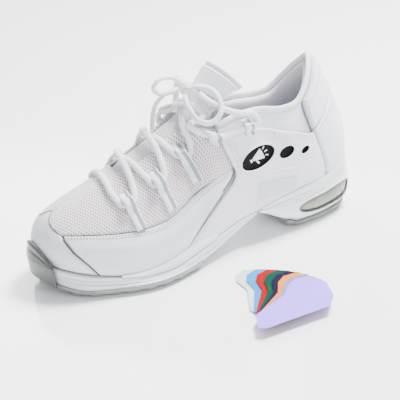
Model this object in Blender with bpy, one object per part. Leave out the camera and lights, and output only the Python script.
"""Cheer shoe for the left foot, with its slide-in side badge and a fan of spare badge cards.

Lengths are in millimetres until the meshes are written, which puts them in metres.
The toe points to -X, the outer (lateral) side faces -Y, and the floor is Z = 0.
"""
import math

import bmesh
import bpy
import numpy as np

NAME = "cheer_shoe"
MM = 0.001

# The last: s runs round the sole edge from the toe (0) to the heel (1 outer side, -1 inner side).
# Sole edge stations: s, x, outer y, inner y, z
SOLE_EDGE = np.array([
    [0.00, -132, 5, 5, 24],
    [0.05, -128, -12, 21, 23],
    [0.12, -115, -31, 37, 20],
    [0.22, -86, -46, 46, 14],
    [0.34, -50, -50, 44, 10],
    [0.46, -13, -44, 34, 17],
    [0.58, 24, -36, 29, 25],
    [0.70, 62, -34, 31, 28],
    [0.84, 102, -31, 31, 33],
    [0.93, 125, -20, 20, 39],
    [1.00, 134, 0, 0, 43],
], float)
# Instep ridge, then collar rim: s, x, y, z (y changes sign for the inner side past the ridge)
TOP_EDGE = np.array([
    [0.00, -108, 4, 61],
    [0.12, -108, 4, 61],
    [0.14, -104, 4, 63],
    [0.24, -79, 3, 73],
    [0.36, -50, 2, 88],
    [0.44, -29.5, 1, 98.5],
    [0.46, -24, 1, 101],
    [0.475, -19, -4, 103],
    [0.50, -10, -15, 104],
    [0.52, -3, -22, 104],
    [0.56, 14, -26, 99],
    [0.62, 36, -26, 101],
    [0.68, 52, -26, 101],
    [0.76, 73, -29, 97],
    [0.82, 88, -28, 98],
    [0.88, 101, -23, 107],
    [0.94, 112, -13, 119],
    [1.00, 118, 0, 127],
], float)
# Side profile handles: s, out and up at the sole edge, out and up at the top edge
PROFILE = np.array([
    [0.00, 8, 16, 12, 0],
    [0.12, 7, 17, 20, 0],
    [0.24, 6, 20, 25, 1],
    [0.36, 4, 24, 26, 2],
    [0.46, 2, 28, 22, 4],
    [0.52, 1, 32, 10, -8],
    [0.58, 1, 32, 5, -16],
    [0.66, 2, 24, 4, -22],
    [0.80, 6, 20, 2, -22],
    [0.92, 8, 22, 4, -26],
    [1.00, 10, 24, 8, -28],
], float)

GAP = 0.5                     # seam gap between neighbouring panels
SKIN = 1.4                    # outer face of the quarters above the last surface
BACK_TOP = -2.5               # pocket backing, outer face
BACK_LOW = -3.7               # pocket backing, inner face
LINING_TOP = -4.7             # collar lining, outer face
MESH_THICK = 2.4
LACE_R = 1.8
OUTSOLE = 4.2                 # outsole thickness
SOLE_GAP = 0.4
CARD_T = 0.6
CARD_STEP = 0.95
CARD_COUNT = 8
FAN_PIVOT = (-37.5, -171.0)
FAN_STEP = 6.0                # degrees from one spare card to the next
FAN_SHIFT = 4.0               # each lower card pushed this much further out of the fan
# Spare card outline seen flat: u from the narrow heel end, h up from the lower edge
CARD = np.array([[0, 4], [4, 0], [56, 0], [66, 12], [72, 31], [68, 47], [58, 50], [49, 46], [38, 34], [8, 21]],
                float)

WHITE = (0.86, 0.87, 0.90)
MESH = (0.82, 0.79, 0.81)
GREY = (0.62, 0.64, 0.66)
SMOKE = (0.33, 0.37, 0.36)
BLACK = (0.02, 0.02, 0.025)
FABRIC = (0.78, 0.80, 0.84)
CARD_COLOURS = {
    "white_green": (0.75, 0.80, 0.76),
    "light_blue": (0.34, 0.55, 0.72),
    "red": (0.66, 0.07, 0.09),
    "green": (0.02, 0.27, 0.18),
    "navy": (0.07, 0.07, 0.18),
    "gold": (0.75, 0.52, 0.22),
    "silver": (0.55, 0.53, 0.58),
    "lavender": (0.45, 0.40, 0.62),
}


# ---------------------------------------------------------------- curves of the last
def hermite(tab, s):
    """Smooth curve through a table whose first column is the parameter."""
    s = np.asarray(s, float)
    k, p = tab[:, 0], tab[:, 1:]
    n = len(k)
    d = np.zeros_like(p)
    d[0] = (p[1] - p[0]) / (k[1] - k[0])
    d[-1] = (p[-1] - p[-2]) / (k[-1] - k[-2])
    for i in range(1, n - 1):
        h0, h1 = k[i] - k[i - 1], k[i + 1] - k[i]
        d[i] = ((p[i] - p[i - 1]) / h0 * h1 + (p[i + 1] - p[i]) / h1 * h0) / (h0 + h1)
    i = np.clip(np.searchsorted(k, s, side="right") - 1, 0, n - 2)
    h = (k[i + 1] - k[i])
    t = ((s - k[i]) / h)[..., None]
    h = h[..., None]
    a = (2 * t**3 - 3 * t**2 + 1) * p[i] + (t**3 - 2 * t**2 + t) * h * d[i]
    return a + (-2 * t**3 + 3 * t**2) * p[i + 1] + (t**3 - t**2) * h * d[i + 1]


def wrap(s):
    """Carry s past the heel, where 1 and -1 are the same place."""
    s = np.asarray(s, float)
    return np.where(s > 1, s - 2, np.where(s < -1, s + 2, s))


def closed_edge():
    """The sole edge as one closed table, inner side first, with a wrapped end for smoothness."""
    rows = []
    for r in SOLE_EDGE[::-1][:-1]:
        rows.append([-r[0], r[1], r[3], r[4]])
    for r in SOLE_EDGE:
        rows.append([r[0], r[1], r[2], r[4]])
    tab = np.array(rows)
    before = tab[-3:-1].copy()
    before[:, 0] -= 2
    after = tab[1:3].copy()
    after[:, 0] += 2
    return np.vstack([before, tab, after])


EDGE = closed_edge()


def fold(tab, flip=()):
    """Carry a half table past the heel and the toe, so it is smooth there."""
    tail = tab[-2:-3:-1].copy()
    tail[:, 0] = 2 - tail[:, 0]
    nose = tab[1:2].copy()
    nose[:, 0] *= -1
    for k in flip:
        tail[:, k] *= -1
    return np.vstack([nose, tab, tail])


TOP = fold(TOP_EDGE, (2,))
SIDE = fold(PROFILE)


def edge(s):
    return hermite(EDGE, wrap(s))


def edge_out(s):
    """Outward direction of the sole edge, level with the floor."""
    t = edge(wrap(np.asarray(s) + 1e-3)) - edge(wrap(np.asarray(s) - 1e-3))
    n = np.stack([t[..., 1], -t[..., 0], np.zeros_like(t[..., 0])], -1)
    return n / np.linalg.norm(n, axis=-1, keepdims=True)


def top_edge(s):
    s = np.asarray(s, float)
    p = hermite(TOP, np.abs(s))
    y = p[..., 1].copy()
    centre = np.interp(np.abs(s), [0.46, 0.52, 1], [1, 0.5, 0])
    p[..., 1] = np.where((s < 0) & (s < -0.46), 2 * centre - y, y)
    return p


def last(s, v):
    """The last surface: v runs from the sole edge (0) to the top edge (1)."""
    s = wrap(s)
    v = np.asarray(v, float)[..., None]
    b, t, n, k = edge(s), top_edge(s), edge_out(s), hermite(SIDE, np.abs(s))
    up = np.array([0, 0, 1.0])
    p1 = b + n * k[..., 0:1] + up * k[..., 1:2]
    p2 = t + n * k[..., 2:3] + up * k[..., 3:4]
    return (1 - v)**3 * b + 3 * (1 - v)**2 * v * p1 + 3 * (1 - v) * v * v * p2 + v**3 * t


def last_normal(s, v):
    s, v = np.asarray(s, float), np.asarray(v, float)
    e = 2e-3
    ds = last(s + e, v) - last(s - e, v)
    dv = last(s, np.minimum(v + e, 1)) - last(s, np.maximum(v - e, 0))
    n = np.cross(ds, dv)
    n = n / np.maximum(np.linalg.norm(n, axis=-1, keepdims=True), 1e-9)
    start = np.where(np.abs(s) < 0.125, 0.7, 0.985)
    mix = np.where(np.abs(s) < 0.47, np.clip((v - start) / (0.99 - start), 0, 1), 0)[..., None]
    n = n * (1 - mix) + ridge_normal(s) * mix
    return n / np.linalg.norm(n, axis=-1, keepdims=True)


def ridge_normal(s):
    """Along the instep the two sides share one normal."""
    a = np.clip(np.abs(s), 0.13, 0.46)
    t = top_edge(a + 2e-3) - top_edge(a - 2e-3)
    n = np.stack([-t[..., 2], np.zeros_like(a), t[..., 0]], -1)
    return n / np.linalg.norm(n, axis=-1, keepdims=True)


def on_last(s, v, out=0.0):
    s, v = np.broadcast_arrays(np.asarray(s, float), np.asarray(v, float))
    out = np.broadcast_to(np.asarray(out, float), s.shape)
    return last(s, v) + last_normal(s, v) * out[..., None]


# ---------------------------------------------------------------- seam lines on the last
CORNER_S, CORNER_V = 0.555, 0.50


def front_seam(v):
    """Front edge of the quarter: s for a height v."""
    return np.interp(v, [0, 0.12, 0.28, 0.5, 0.75, 1], [0.36, 0.42, 0.515, 0.558, 0.562, 0.560])


def guard_top(s):
    """Upper edge of the mudguard: v for a station s."""
    return np.interp(np.abs(s), [0.12, 0.25, 0.38, 0.48, 0.555], [0.44, 0.34, 0.36, 0.43, 0.50])


def throat(s):
    """Lacing edge of the mesh sides: v for a station s."""
    stations = [0.12, 0.30, 0.34, 0.40, 0.46, 0.49, 0.525]
    return np.interp(np.abs(s), stations, [0.88, 0.88, 0.83, 0.80, 0.80, 0.88, 1.0])


def mouth(s):
    """Pocket mouth: v for a station s."""
    return np.interp(np.abs(s), [0.55, 0.60, 0.70, 0.80, 0.86], [0.86, 0.84, 0.78, 0.62, 0.60])


# ---------------------------------------------------------------- mesh helpers
def collection(name):
    c = bpy.data.collections.new(name)
    bpy.context.scene.collection.children.link(c)
    return c


def material(name, colour, rough=0.55, alpha=1.0, transmission=0.0):
    m = bpy.data.materials.new(name)
    m.use_nodes = True
    b = m.node_tree.nodes["Principled BSDF"]
    b.inputs["Base Color"].default_value = (*colour, 1)
    b.inputs["Roughness"].default_value = rough
    b.inputs["Alpha"].default_value = alpha
    b.inputs["Transmission Weight"].default_value = transmission
    m.diffuse_color = (*colour, 1)
    return m


def add(name, verts, faces, colour, rough=0.55, cutter=False):
    """One closed body as an object, with its normals facing out."""
    mesh = bpy.data.meshes.new(name)
    mesh.from_pydata([tuple(float(c) * MM for c in v) for v in verts], [], faces)
    b = bmesh.new()
    b.from_mesh(mesh)
    bmesh.ops.remove_doubles(b, verts=b.verts, dist=1e-6)
    bmesh.ops.recalc_face_normals(b, faces=b.faces)
    b.to_mesh(mesh)
    b.free()
    ob = bpy.data.objects.new(name, mesh)
    if cutter:
        CUTTERS.objects.link(ob)
        ob.hide_render = True
        ob.display_type = "WIRE"
        return ob
    mesh.materials.append(material(name, colour, rough))
    PARTS.objects.link(ob)
    return ob


def shell(name, s, v, out, inn, colour, rough=0.55, keep=None, cutter=False):
    """A bent panel between two offsets of the last, on a grid of (s, v)."""
    s, v = np.broadcast_arrays(np.asarray(s, float), np.asarray(v, float))
    return thick(name, on_last(s, v, out), on_last(s, v, inn), colour, rough, keep, cutter)


def thick(name, outer, inner, colour, rough=0.55, keep=None, cutter=False):
    """Join two matching grids of points into one closed body."""
    m, n = outer.shape[:2]
    verts = list(outer.reshape(-1, 3)) + list(inner.reshape(-1, 3))
    faces = []
    edges = {}
    for i in range(m - 1):
        for j in range(n - 1):
            if keep is not None and not keep[i, j]:
                continue
            q = [i * n + j, (i + 1) * n + j, (i + 1) * n + j + 1, i * n + j + 1]
            faces.append(q)
            faces.append([k + m * n for k in reversed(q)])
            for a, b in zip(q, q[1:] + q[:1]):
                edges[(a, b)] = edges.get((a, b), 0) + 1
    for a, b in edges:
        if (b, a) not in edges:
            faces.append([b, a, a + m * n, b + m * n])
    used = sorted({k for f in faces for k in f})
    index = {k: i for i, k in enumerate(used)}
    return add(name, [verts[k] for k in used], [[index[k] for k in f] for f in faces], colour, rough, cutter)


def slab(name, s, levels, colour, rough=0.6, closed=False):
    """A sole layer: rings of the sole edge from bottom to top, capped with rungs across the foot."""
    rings = []
    for off, z in levels:
        ring = edge(s) * [1, 1, 0] + edge_out(s) * (np.zeros_like(s) + off)[:, None]
        ring[:, 2] = z
        rings.append(ring)
    n = len(s)
    verts = [p for r in rings for p in r]
    faces = []
    for k in range(len(rings) - 1):
        for i in range(n):
            j = (i + 1) % n
            faces.append([k * n + i, k * n + j, (k + 1) * n + j, (k + 1) * n + i])
    pair = n if closed else n - 1
    for base in (0, (len(rings) - 1) * n):
        for i in range(n // 2):
            q = [i, i + 1, (pair - i - 1) % n, (pair - i) % n]
            faces.append([base + k for k in dict.fromkeys(q)])
    return add(name, verts, faces, colour, rough)


def tube(name, pts, r, colour, rough=0.7):
    """A round cord along a polyline, as a capped curve turned into a mesh."""
    curve = bpy.data.curves.new(name, "CURVE")
    curve.dimensions = "3D"
    curve.bevel_depth = r * MM
    curve.bevel_resolution = 2
    curve.use_fill_caps = True
    curve.twist_mode = "MINIMUM"
    sp = curve.splines.new("POLY")
    sp.points.add(len(pts) - 1)
    for p, q in zip(sp.points, pts):
        p.co = (q[0] * MM, q[1] * MM, q[2] * MM, 1)
    tmp = bpy.data.objects.new(name + "_curve", curve)
    PARTS.objects.link(tmp)
    deps = bpy.context.evaluated_depsgraph_get()
    mesh = bpy.data.meshes.new_from_object(tmp.evaluated_get(deps))
    bpy.data.objects.remove(tmp)
    bpy.data.curves.remove(curve)
    b = bmesh.new()
    b.from_mesh(mesh)
    bmesh.ops.remove_doubles(b, verts=b.verts, dist=1e-6)
    bmesh.ops.recalc_face_normals(b, faces=b.faces)
    b.to_mesh(mesh)
    b.free()
    mesh.name = name
    mesh.materials.clear()
    mesh.materials.append(material(name, colour, rough))
    ob = bpy.data.objects.new(name, mesh)
    PARTS.objects.link(ob)
    return ob


def smooth_path(points, count):
    """A centripetal curve through a few points, sampled evenly along its length."""
    p = np.array(points, float)
    k = np.concatenate([[0], np.cumsum(np.linalg.norm(np.diff(p, axis=0), axis=1))])
    tab = np.column_stack([k, p])
    fine = hermite(tab, np.linspace(0, k[-1], 400))
    length = np.concatenate([[0], np.cumsum(np.linalg.norm(np.diff(fine, axis=0), axis=1))])
    t = np.linspace(0, length[-1], count)
    return np.column_stack([np.interp(t, length, fine[:, c]) for c in range(3)])


def cut(ob, cutter):
    m = ob.modifiers.new("cut_" + cutter.name, "BOOLEAN")
    m.operation = "DIFFERENCE"
    m.solver = "EXACT"
    m.object = cutter


def box(name, lo, hi):
    v = [(x, y, z) for x in (lo[0], hi[0]) for y in (lo[1], hi[1]) for z in (lo[2], hi[2])]
    f = [[0, 1, 3, 2], [4, 6, 7, 5], [0, 4, 5, 1], [2, 3, 7, 6], [0, 2, 6, 4], [1, 5, 7, 3]]
    return add(name, v, f, WHITE, cutter=True)


def prism(name, outline, origin, across, up, out, depth, colour, rough=0.5, cutter=False):
    """A flat outline swept along a direction."""
    o, a, u, w = (np.array(k, float) for k in (origin, across, up, out))
    n = len(outline)
    low = [o + a * p[0] + u * p[1] + w * depth[0] for p in outline]
    high = [o + a * p[0] + u * p[1] + w * depth[1] for p in outline]
    faces = [list(range(n)), list(range(2 * n - 1, n - 1, -1))]
    faces += [[i, (i + 1) % n, n + (i + 1) % n, n + i] for i in range(n)]
    return add(name, low + high, faces, colour, rough, cutter)


for old in list(bpy.data.objects):
    bpy.data.objects.remove(old)
PARTS = collection(NAME)
CUTTERS = collection(NAME + "_cutters")


# ---------------------------------------------------------------- upper panels
def grid(rows, cols):
    return np.meshgrid(np.linspace(0, 1, rows), np.linspace(0, 1, cols), indexing="ij")


def toe_cap():
    a, b = grid(9, 6)
    shell("toe_cap", -0.12 + 0.24 * a, b * 0.95, 0.0, -2.5, WHITE, 0.45)


def mudguard(name, side):
    a, b = grid(10, 4)
    s_top = 0.1255 + a * (CORNER_S - 0.0035 - 0.1255)
    s = 0.1255 + a * (front_seam(b * CORNER_V) - 0.0035 - 0.1255)
    v = b * (guard_top(s_top) - 0.006)
    shell(name, side * s, v, 0.0, -2.5, WHITE, 0.45)


def vamp():
    """Spacer mesh over the forefoot, with the two lacing sides in one piece."""
    stations = np.array([0.1255, 0.16, 0.20, 0.24, 0.27, 0.30, 0.33, 0.37, 0.41, 0.44, 0.46, 0.474, 0.487,
                         0.505, 0.525, 0.5545])
    side = np.linspace(0, 1, 6)
    s_rows, v_rows = [], []
    for q in stations:
        low = guard_top(q) + 0.006
        high = min(throat(q), 0.995)
        outer = low + side * (high - low)
        mid = np.array([high + 0.5 * (1 - high)])
        s_rows.append(np.concatenate([np.full(6, q), [q, q, -q], np.full(6, -q)]))
        v_rows.append(np.concatenate([outer, mid, [1.0], mid, outer[::-1]]))
    s, v = np.array(s_rows), np.array(v_rows)
    keep = np.ones((len(stations) - 1, 14), bool)
    keep[5:, 5:9] = False
    shell("vamp_mesh", s, v, 0.0, -MESH_THICK, MESH, 0.8, keep)


def quarter(name, side, top):
    """Outer leather of the side; the outer one stops at the pocket mouth."""
    a, b = grid(10, 7)
    s = front_seam(b) + a * (0.838 - front_seam(b))
    v = b * top(s) if top else b * 0.998
    return shell(name, side * s, v, SKIN, 0.0 if top else -1.0, WHITE, 0.42)


def tuck(v):
    """The collar sits a little further in than the pocket below it."""
    return -1.3 * np.interp(v, [0.72, 0.92], [0, 1])


def backing(name, side):
    a, b = grid(10, 9)
    s = front_seam(b) + 0.004 + a * (0.838 - front_seam(b) - 0.004)
    shell(name, side * s, b * 0.998, BACK_TOP + tuck(b), BACK_LOW + tuck(b), FABRIC, 0.7)


HEEL_S = np.array([0.8425, 0.87, 0.90, 0.93, 0.965, 1.0, 1.035, 1.07, 1.10, 1.13, 1.1575])


def heel():
    for name, low, high, rows in (("heel_counter", 0.0, 0.66, 6), ("heel_tab", 0.667, 0.998, 4)):
        s, v = np.meshgrid(HEEL_S, np.linspace(low, high, rows), indexing="ij")
        shell(name, s, v, SKIN, BACK_LOW, WHITE, 0.45)


def lining():
    front = np.linspace(0.625, 0.8425, 6)[:-1]
    s = np.concatenate([front, HEEL_S, 2 - front[::-1]])
    v = np.array([0.05, 0.2, 0.4, 0.6, 0.78, 0.9, 1.0])
    thick_of = np.interp(v, [0.05, 0.4, 0.6, 0.78, 0.9, 1.0], [1.3, 1.3, 2.0, 4.2, 5.0, 4.6])
    sg, vg = np.meshgrid(s, v, indexing="ij")
    ends = np.interp(np.minimum(sg - 0.62, 1.38 - sg), [0, 0.05], [0.35, 1.0])
    outer = LINING_TOP + tuck(vg)
    shell("collar_lining", sg, vg, outer, outer - thick_of * ends, FABRIC, 0.85)


def binding():
    front, back = np.linspace(0.565, 0.95, 15), np.linspace(1.05, 1.435, 15)
    s = np.concatenate([front, np.linspace(0.97, 1.03, 3), back])
    p = on_last(s, np.full(s.shape, 1.0), -5.0)
    p[:, 2] += 2.6
    tube("collar_binding", p, 1.6, WHITE, 0.5)


# ---------------------------------------------------------------- tongue
TONGUE = np.array([
    # t, x, z, half width, edge droop
    [0.00, -71, 68, 17, 9],
    [0.16, -50, 80, 18, 10],
    [0.34, -25, 92.5, 17, 10],
    [0.45, -11, 101, 15, 9],
    [0.60, 4, 113, 16, 9],
    [0.78, 17, 127.5, 22, 11],
    [1.00, 29, 141, 27, 15],
], float)


def tongue_at(t, w, out=0.0):
    """Point on the tongue's front face: t from root to top, w from -1 (outer side) to 1."""
    t, w = np.broadcast_arrays(np.asarray(t, float), np.asarray(w, float))
    k = hermite(TONGUE, t)
    d = hermite(TONGUE, np.minimum(t + 0.01, 1)) - hermite(TONGUE, np.maximum(t - 0.01, 0))
    n = np.stack([-d[..., 1], d[..., 0]], -1)
    n = n / np.linalg.norm(n, axis=-1, keepdims=True)
    lean = 2 * k[..., 3] / k[..., 2] * w
    size = np.sqrt(1 + lean**2)
    off = -k[..., 3] * w * w + out / size
    x = k[..., 0] + n[..., 0] * off
    z = k[..., 1] + n[..., 1] * off
    y = 1 + k[..., 2] * w + out * lean / size
    return np.stack([x, y, z], -1)


def tongue():
    t, w = np.meshgrid(np.linspace(0, 0.965, 12), np.linspace(-1, 1, 7), indexing="ij")
    deep = np.interp(t, [0, 0.45, 0.7, 1], [2.4, 2.6, 4.5, 4.0])
    w = w * np.interp(t, [0, 0.85, 0.965], [1, 1, 0.93])
    thick("tongue", tongue_at(t, w, 0.0), tongue_at(t, w, -deep), MESH, 0.8)
    w = np.linspace(-0.9, 0.9, 17)
    rim = np.interp(np.abs(w), [0, 0.75, 0.9], [1.0, 1.0, 0.985])
    tube("tongue_binding", tongue_at(rim, w, -2.0) + [0.5, 0, 0.6], 1.9, WHITE, 0.6)


# ---------------------------------------------------------------- laces
EYES = [(0.296, 0.585), (0.386, 0.585), (0.474, 0.63), (0.546, 0.86), (0.632, 0.90)]


def keeper(name, side, s0, v0, half=0.011, reach=0.21, lift=4.9):
    """A webbing belt loop stitched down at both ends, with room for the lace beneath."""
    a, b = grid(3, 11)
    b = 0.5 + 0.5 * np.sign(b - 0.5) * np.abs(2 * b - 1)**1.15
    v = np.minimum(v0 - reach * 0.55 + b * reach, 0.992)
    rise = np.exp(-((v - v0) / 0.052)**4) * lift
    base = 0.9 if s0 < 0.54 else SKIN + 0.5
    shell(name, side * (s0 - half + 2 * half * a), v, base + 1.2 + rise, base + rise, GREY, 0.6)


def lace_run(name, side, over):
    """Half of the lace, from the middle of the front bar up to the knot."""
    h = LACE_R + 1.0
    hi = h + 2 * LACE_R + 0.7
    p = [on_last(0.264, 1.0, h) + [0, side * -0.8, 0]]
    for v in (0.93, 0.82, 0.72):
        p.append(on_last(side * 0.266, v, h))
    current = side
    for i, (s0, v0) in enumerate(EYES[:3]):
        p.append(on_last(current * (s0 - 0.011), v0, h))
        p.append(on_last(current * (s0 + 0.011), v0, h))
        if i == 2:
            break
        nxt = EYES[i + 1][0]
        top = hi if (i % 2 == 0) == over else h
        rise = 0.5 * (h + top)
        for s, v, sign, lift in ((s0 + 0.027, v0 + 0.11, current, h),
                                 (s0 + 0.036, 0.84, current, rise),
                                 (0.5 * (s0 + nxt), 1.0, current, top),
                                 (nxt - 0.036, 0.84, -current, rise),
                                 (nxt - 0.027, v0 + 0.11, -current, h)):
            p.append(on_last(sign * s, v, lift))
        current = -current
    cross = 3.4 if over else 7.8
    p.append(on_last(current * 0.499, 0.76, h + 0.6))
    p.append(on_last(current * 0.502, 0.90, h + 1.2))
    p.append(tongue_at(0.52, 0.42 * -current, 0.5 * (cross + 4.4)))
    p.append(tongue_at(0.57, 0.0, cross))
    p.append(tongue_at(0.615, -0.42 * -current, 0.5 * (cross + 4.4)))
    current = -current
    p.append(tongue_at(0.605, 1.0 * -current, 4.6))
    for s, v, out in ((0.515, 0.965, 4.4), (0.522, 0.90, 4.0), (0.537, 0.86, 4.2), (0.556, 0.86, 4.4),
                      (0.59, 0.88, 4.4), (0.621, 0.90, 4.2), (0.643, 0.90, 4.2), (0.662, 0.94, 4.6)):
        p.append(on_last(current * s, v, out))
    p.append(on_last(current * 0.650, 0.995, 5.2) + [0, 0, 2.5])
    p.append(on_last(current * 0.61, 0.995, 5.6) + [0, 0, 6.5])
    p.append(tongue_at(0.70, 0.90 * -current, 4.2))
    p.append(tongue_at(0.715, 0.48 * -current, 5.0))
    tube(name, smooth_path(p, 70), LACE_R, WHITE, 0.75)


KNOT = (6.0, 2.0, 126.5)
# Free cords, as offsets from the knot's centre
CORDS = {
    "bow_loop_left": [np.array(q, float) for q in (
        (-4.2, -3.6, 5.0), (-9, -5, 10.5), (-17, -6, 14.5), (-25, -5, 13), (-28, -3, 7.5),
        (-24, -1, 2.5), (-15, 0, 0.5), (-6.8, 0.5, 0.5))],
    "bow_loop_right": [np.array(q, float) for q in (
        (-0.5, -8.2, 2), (5, -16, 4), (11, -24, 2), (14, -29, -6), (11, -33, -15),
        (3, -33, -20), (-6, -30, -17), (-9, -22, -9), (-5.2, -8.6, -3))],
    "lace_tail_left": [np.array(q, float) for q in (
        (-3, 7.6, -2), (-8, 14, -5), (-12, 24, -12), (-14, 33, -22), (-15, 38, -34), (-15, 41, -47),
        (-14, 42.5, -58))],
    "lace_tail_right": [np.array(q, float) for q in (
        (0.5, 8.2, 3), (3, 16, 4), (6, 26, -1), (7, 34, -12), (7, 39, -26), (6, 41, -40), (6, 41.5, -52))],
}


def bow():
    kx, ky, kz = KNOT
    k = np.array(KNOT)
    bpy.ops.mesh.primitive_uv_sphere_add(segments=14, ring_count=9, radius=1, location=(0, 0, 0))
    ob = bpy.context.object
    ob.name = "bow_knot"
    ob.data.name = "bow_knot"
    for q in ob.data.vertices:
        q.co = ((q.co.x * 4.6 + kx) * MM, (q.co.y * 6.2 + ky) * MM, (q.co.z * 5.2 + kz) * MM)
    ob.data.materials.append(material("bow_knot", WHITE, 0.75))
    for c in list(ob.users_collection):
        c.objects.unlink(ob)
    PARTS.objects.link(ob)
    for name, pts in CORDS.items():
        tube(name, smooth_path([k + q for q in pts], 32), 1.6, WHITE, 0.75)
    for name, end in (("aglet_left", "lace_tail_left"), ("aglet_right", "lace_tail_right")):
        q = smooth_path([k + c for c in CORDS[end]], 32)
        d = (q[-1] - q[-3]) / np.linalg.norm(q[-1] - q[-3])
        tube(name, [q[-1] + d * 0.4, q[-1] + d * 12.4], 1.3, GREY, 0.3)


# ---------------------------------------------------------------- sole
def mirrored(half):
    return np.concatenate([half[::-1], -half[1:]])


def around_heel(half):
    return np.concatenate([half, (2 - half)[::-1][1:]])


def ground_front(x):
    """Underside of the forefoot outsole: toe spring in front, rising to the arch behind."""
    toe = np.clip((-106 - x) / 30, 0, None)**2 * 9
    arch = np.clip((x + 30) / 59, 0, None)**1.6 * 15.5
    return toe + arch


def ground_heel(x):
    lead = np.clip((76 - x) / 36, 0, None)**1.25 * 19.5
    tail = np.clip((x - 120) / 20, 0, None)**2 * 8
    return lead + tail


def flare(s):
    """The forefoot sole stands out further at the ball on the outer side."""
    return 5.5 * np.exp(-((s - 0.31) / 0.09)**2) + 1.5 * np.exp(-((s + 0.3) / 0.1)**2)


def between(low, high, parts):
    return [(off, low + (high - low) * f) for off, f in parts]


def forefoot():
    half = np.array([0, 0.03, 0.06, 0.09, 0.12, 0.18, 0.24, 0.30, 0.36, 0.42, 0.48, 0.55, 0.621])
    s = mirrored(half)
    x, z = edge(s)[:, 0], edge(s)[:, 2]
    low = ground_front(x) + OUTSOLE + SOLE_GAP
    high = z - 0.9
    thin = np.clip((0.62 - np.abs(s)) / 0.2, 0.15, 1) * np.interp(np.abs(s), [0.09, 0.15], [0.78, 1])
    f = flare(s)
    slab("midsole_forefoot", s, between(low, high, [
        (f - 2.0, 0.0), (2.8 * thin + f, 0.12), (3.4 * thin + f * 0.8, 0.42), (1.6 * thin + f * 0.4, 0.52),
        (4.2 * thin + f * 0.2, 0.66), (3.4 * thin, 1.0)]), WHITE, 0.5)
    half = np.append(half[:9], 0.435)
    s = mirrored(half)
    x = edge(s)[:, 0]
    f = flare(s)
    low = ground_front(x)
    levels = [(f - 3.0, low), (f + 1.0, low + 0.9), (f + 2.6, low + OUTSOLE)]
    ob = slab("outsole_forefoot", s, levels, SMOKE, 0.35)
    for i, gx in enumerate((-98, -82, -66, -50, -36)):
        cut(ob, box("groove_%d" % (i + 1), (gx - 1.6, -75, -1), (gx + 1.6, 75, 1.8)))


def toe_bumper():
    """The outsole turned up over the toe."""
    s, b = np.meshgrid([-0.09, -0.06, -0.03, 0, 0.03, 0.06, 0.09], np.linspace(0, 1, 5), indexing="ij")
    a = s / 0.18 + 0.5
    base = edge(s) + edge_out(s) * 6.4
    low = ground_front(edge(s)[..., 0]) + OUTSOLE + 0.5
    base[..., 2] = low
    mid = edge(s) + edge_out(s) * 6.8 + [0, 0, 1.0]
    taper = (1.02 - (np.abs(2 * a - 1))**3)[..., None]
    top = mid + (on_last(s, 0.26 * np.ones_like(s), 3.0) - mid) * taper
    b3 = b[..., None]
    outer = np.where(b3 < 0.5, base + (mid - base) * b3 * 2, mid + (top - mid) * (b3 - 0.5) * 2)
    n = edge_out(s) * np.ones_like(b3)
    thick("toe_bumper", outer, outer - n * 2.4, SMOKE, 0.35)


def ball_wing():
    a, b = grid(8, 4)
    s = 0.26 + a * 0.20
    height = 0.035 + 0.13 * np.sin(np.pi * np.clip(a, 0, 1)**0.8)
    shell("ball_wing", s, 0.03 + b * height, 4.2 - 1.0 * b, SKIN + 0.5, WHITE, 0.5)


def heel_unit():
    half = np.array([0.625, 0.66, 0.70, 0.75, 0.80, 0.85, 0.90, 0.94, 0.97, 1.0])
    s = around_heel(half)
    x, z = edge(s)[:, 0], edge(s)[:, 2]
    low = ground_heel(x) + OUTSOLE + SOLE_GAP
    high = z - GAP
    ob = slab("midsole_heel", s, [(off, low + (high - low) * f) for off, f in HEEL_SIDE], WHITE, 0.5)
    half = np.append(0.712, half[3:])
    s = around_heel(half)
    low = ground_heel(edge(s)[:, 0])
    sole = slab("outsole_heel", s, [(-6.0, low), (-2.6, low + 1.2),
                                    (-0.8, low + OUTSOLE)], SMOKE, 0.35)
    for i, gx in enumerate((88, 100, 112)):
        cut(sole, box("heel_groove_%d" % (i + 1), (gx - 1.4, -50, -1), (gx + 1.4, 50, 1.6)))
    for side, word in ((1, "lateral"), (-1, "medial")):
        cut(ob, lens("air_window_cut_" + word, side, 0.45, 3.0, -7.6, True))
        lens("air_window_" + word, side, 0.0, -0.9, -7.0, False)


HEEL_SIDE = [(-4.0, 0.0), (0.5, 0.12), (3.6, 0.38), (4.4, 0.62), (3.8, 0.82), (3.4, 1.0)]


def heel_wall(s, f, out):
    """Sidewall of the heel wedge: f from its bottom (0) to its top (1)."""
    low = ground_heel(edge(s)[..., 0]) + OUTSOLE + SOLE_GAP
    high = edge(s)[..., 2] - GAP
    off = np.interp(f, [k[1] for k in HEEL_SIDE], [k[0] for k in HEEL_SIDE]) + out
    p = edge(s) * [1, 1, 0] + edge_out(s) * off[..., None]
    p[..., 2] = low + (high - low) * f
    return p


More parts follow.
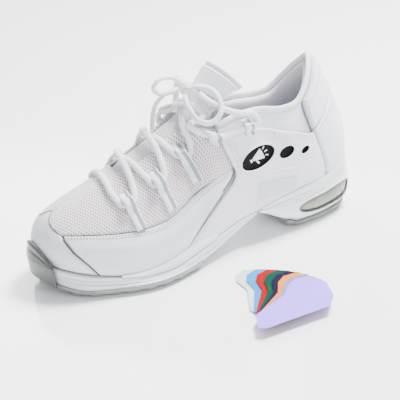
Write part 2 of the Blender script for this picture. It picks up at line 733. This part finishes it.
def lens(name, side, grow, out, inn, cutter):
    """The leaf-shaped cushion window, or the recess cut for it."""
    u = np.linspace(-1, 1, 11)
    s = 0.84 + u * (0.098 + grow * 0.004)
    half = 0.215 * np.sqrt(np.clip(1 - (u * 0.985)**2, 0.02, 1))
    depth = edge(s)[:, 2] - GAP - ground_heel(edge(s)[:, 0]) - OUTSOLE - SOLE_GAP
    half = half + grow / depth
    mid = 0.47 - 0.05 * u
    f = mid[:, None] + half[:, None] * np.linspace(-1, 1, 5)[None, :]
    sg = np.repeat(s[:, None], 5, 1) * side
    bulge = 0.0 if cutter else 0.7 * (1 - np.linspace(-1, 1, 5)**2)
    outer = heel_wall(sg, f, out + bulge + 0 * f)
    inner = heel_wall(sg, np.repeat(mid[:, None], 5, 1) + 0 * f, inn + 0 * f)
    inner[..., 2] = outer[..., 2]
    return thick(name, outer, inner, SMOKE, 0.2, None, cutter)


def boards():
    half = np.array([0, 0.04, 0.09, 0.15, 0.22, 0.30, 0.38, 0.46, 0.54, 0.62, 0.70, 0.78, 0.85, 0.91, 0.96,
                     1.0])
    s = mirrored(half)[:-1]
    z = edge(s)[:, 2]
    slab("lasting_board", s, [(-5.2, z + 0.5), (-5.2, z + 1.9)], FABRIC, 0.9, True)
    slab("sockliner", s, [(-8.4, z + 2.3), (-8.2, z + 3.7), (-9.2, z + 5.1)], (0.55, 0.66, 0.80), 0.85, True)


# ---------------------------------------------------------------- badge and spare cards
BADGE_X, BADGE_Z = 91.5, 47.0
# The badge slides round a long axis inside the foot: centre y and z, then its radius along the shoe
ARC = (416.0, 5.0)
ARC_R = (-1.538, -0.689, 1.602, 451.94)


def badge():
    """The black card behind the windows, bent to the side of the shoe, with its pull tab."""
    u = np.linspace(0, 67, 12)
    low = np.interp(u, [0, 4, 50, 64, 67], [5, 0.5, 0.5, 14, 30])
    high = np.interp(u, [0, 3, 30, 45, 58, 67], [16, 22, 28, 38, 42, 36])
    b = np.linspace(0, 1, 6)
    z = BADGE_Z + low[:, None] + (high - low)[:, None] * b[None, :]
    x = BADGE_X - np.repeat(u[:, None], 6, 1)
    y = arc_y(x, z)
    p = np.stack([x, y, z], -1)
    n = arc_normal(x, z)
    thick("badge_card", p + n * 0.3, p - n * 0.3, BLACK, 0.5)
    z = np.array([88.5, 91.0, 95.0])[None, :] + np.zeros((3, 1))
    x = np.array([47.0, 50.0, 53.0])[:, None] + np.zeros((1, 3))
    p = np.stack([x, arc_y(x, z), z], -1)
    n = arc_normal(x, z)
    thick("badge_pull_tab", p + n * 0.4, p - n * 0.4, WHITE, 0.6)


def arc_y(x, z):
    r = np.polyval(ARC_R, (x - 66) / 30)
    return ARC[0] - np.sqrt(r * r - (z - ARC[1])**2)


def arc_normal(x, z):
    e = 0.1
    n = np.stack([(arc_y(x + e, z) - arc_y(x - e, z)) / (2 * e), -np.ones_like(x),
                  (arc_y(x, z + e) - arc_y(x, z - e)) / (2 * e)], -1)
    return n / np.linalg.norm(n, axis=-1, keepdims=True)




def spare_cards():
    for i, (word, colour) in enumerate(CARD_COLOURS.items()):
        turn = (CARD_COUNT - 1 - i) * FAN_STEP
        push = (CARD_COUNT - 1 - i) * FAN_SHIFT
        c, s = math.cos(math.radians(turn)), math.sin(math.radians(turn))
        origin = (FAN_PIVOT[0] + c * push, FAN_PIVOT[1] + s * push, 0)
        prism("spare_card_" + word, CARD, origin, (c, s, 0), (-s, c, 0), (0, 0, 1),
              (i * CARD_STEP, i * CARD_STEP + CARD_T), colour, 0.6)


def windows(panel):
    """Three oval windows through the outer quarter, biggest at the front."""
    for i, (cx, cz, a, b, tilt) in enumerate(((44, 68.4, 16.1, 8.6, 13), (69.2, 66.5, 7.2, 4.7, 19),
                                              (85.2, 64.3, 4.4, 2.7, 23))):
        t = math.radians(tilt)
        n = 28 if i == 0 else 20
        outline = [(a * math.cos(k) * math.cos(t) - b * math.sin(k) * math.sin(t),
                    a * math.cos(k) * math.sin(t) + b * math.sin(k) * math.cos(t))
                   for k in np.linspace(0, 2 * math.pi, n, endpoint=False)]
        p = on_last(np.array([0.70]), np.array([0.5]))[0]
        cutter = prism("window_%d" % (i + 1), outline, (cx, p[1], cz), (1, 0, 0), (0, 0, 1), (0, 1, 0),
                       (-14, 14), BLACK, cutter=True)
        cut(panel, cutter)


toe_cap()
mudguard("mudguard_lateral", 1)
mudguard("mudguard_medial", -1)
vamp()
lateral = quarter("quarter_lateral", 1, mouth)
windows(lateral)
quarter("quarter_medial", -1, None)
backing("pocket_backing", 1)
backing("quarter_backing_medial", -1)
heel()
lining()
binding()
tongue()
for side, word in ((1, "lateral"), (-1, "medial")):
    for i, (s0, v0) in enumerate(EYES):
        keeper("lace_loop_%s_%d" % (word, i + 1), side, s0, v0)
lace_run("lacing_lateral", 1, True)
lace_run("lacing_medial", -1, False)
bow()
forefoot()
toe_bumper()
ball_wing()
heel_unit()
boards()
badge()
spare_cards()

# The origin is put on the floor under the middle of the object, leaving the free cords out.
LOOSE = set(CORDS) | {"aglet_left", "aglet_right"}
solid = [v.co for ob in PARTS.objects if ob.name not in LOOSE for v in ob.data.vertices]
low = [min(c[k] for c in solid) for k in range(3)]
high = [max(c[k] for c in solid) for k in range(3)]
shift = [-(low[0] + high[0]) / 2, -(low[1] + high[1]) / 2, -low[2]]
for ob in list(PARTS.objects) + list(CUTTERS.objects):
    for v in ob.data.vertices:
        v.co = (v.co.x + shift[0], v.co.y + shift[1], v.co.z + shift[2])

# Each moving piece has its origin on the axis that it turns about.
AXES = {"tongue": (-71, 1, 68), "tongue_binding": (-71, 1, 68)}
AXES.update({name: (66, ARC[0], ARC[1]) for name in ("badge_card", "badge_pull_tab")})
AXES.update({"spare_card_" + word: (*FAN_PIVOT, 0) for word in list(CARD_COLOURS)[:-1]})
for name, point in AXES.items():
    ob = bpy.data.objects[name]
    origin = [c * MM + k for c, k in zip(point, shift)]
    ob.location = origin
    for v in ob.data.vertices:
        v.co = (v.co.x - origin[0], v.co.y - origin[1], v.co.z - origin[2])
print("origin moved by", [round(k * 1000, 4) for k in shift], "mm")
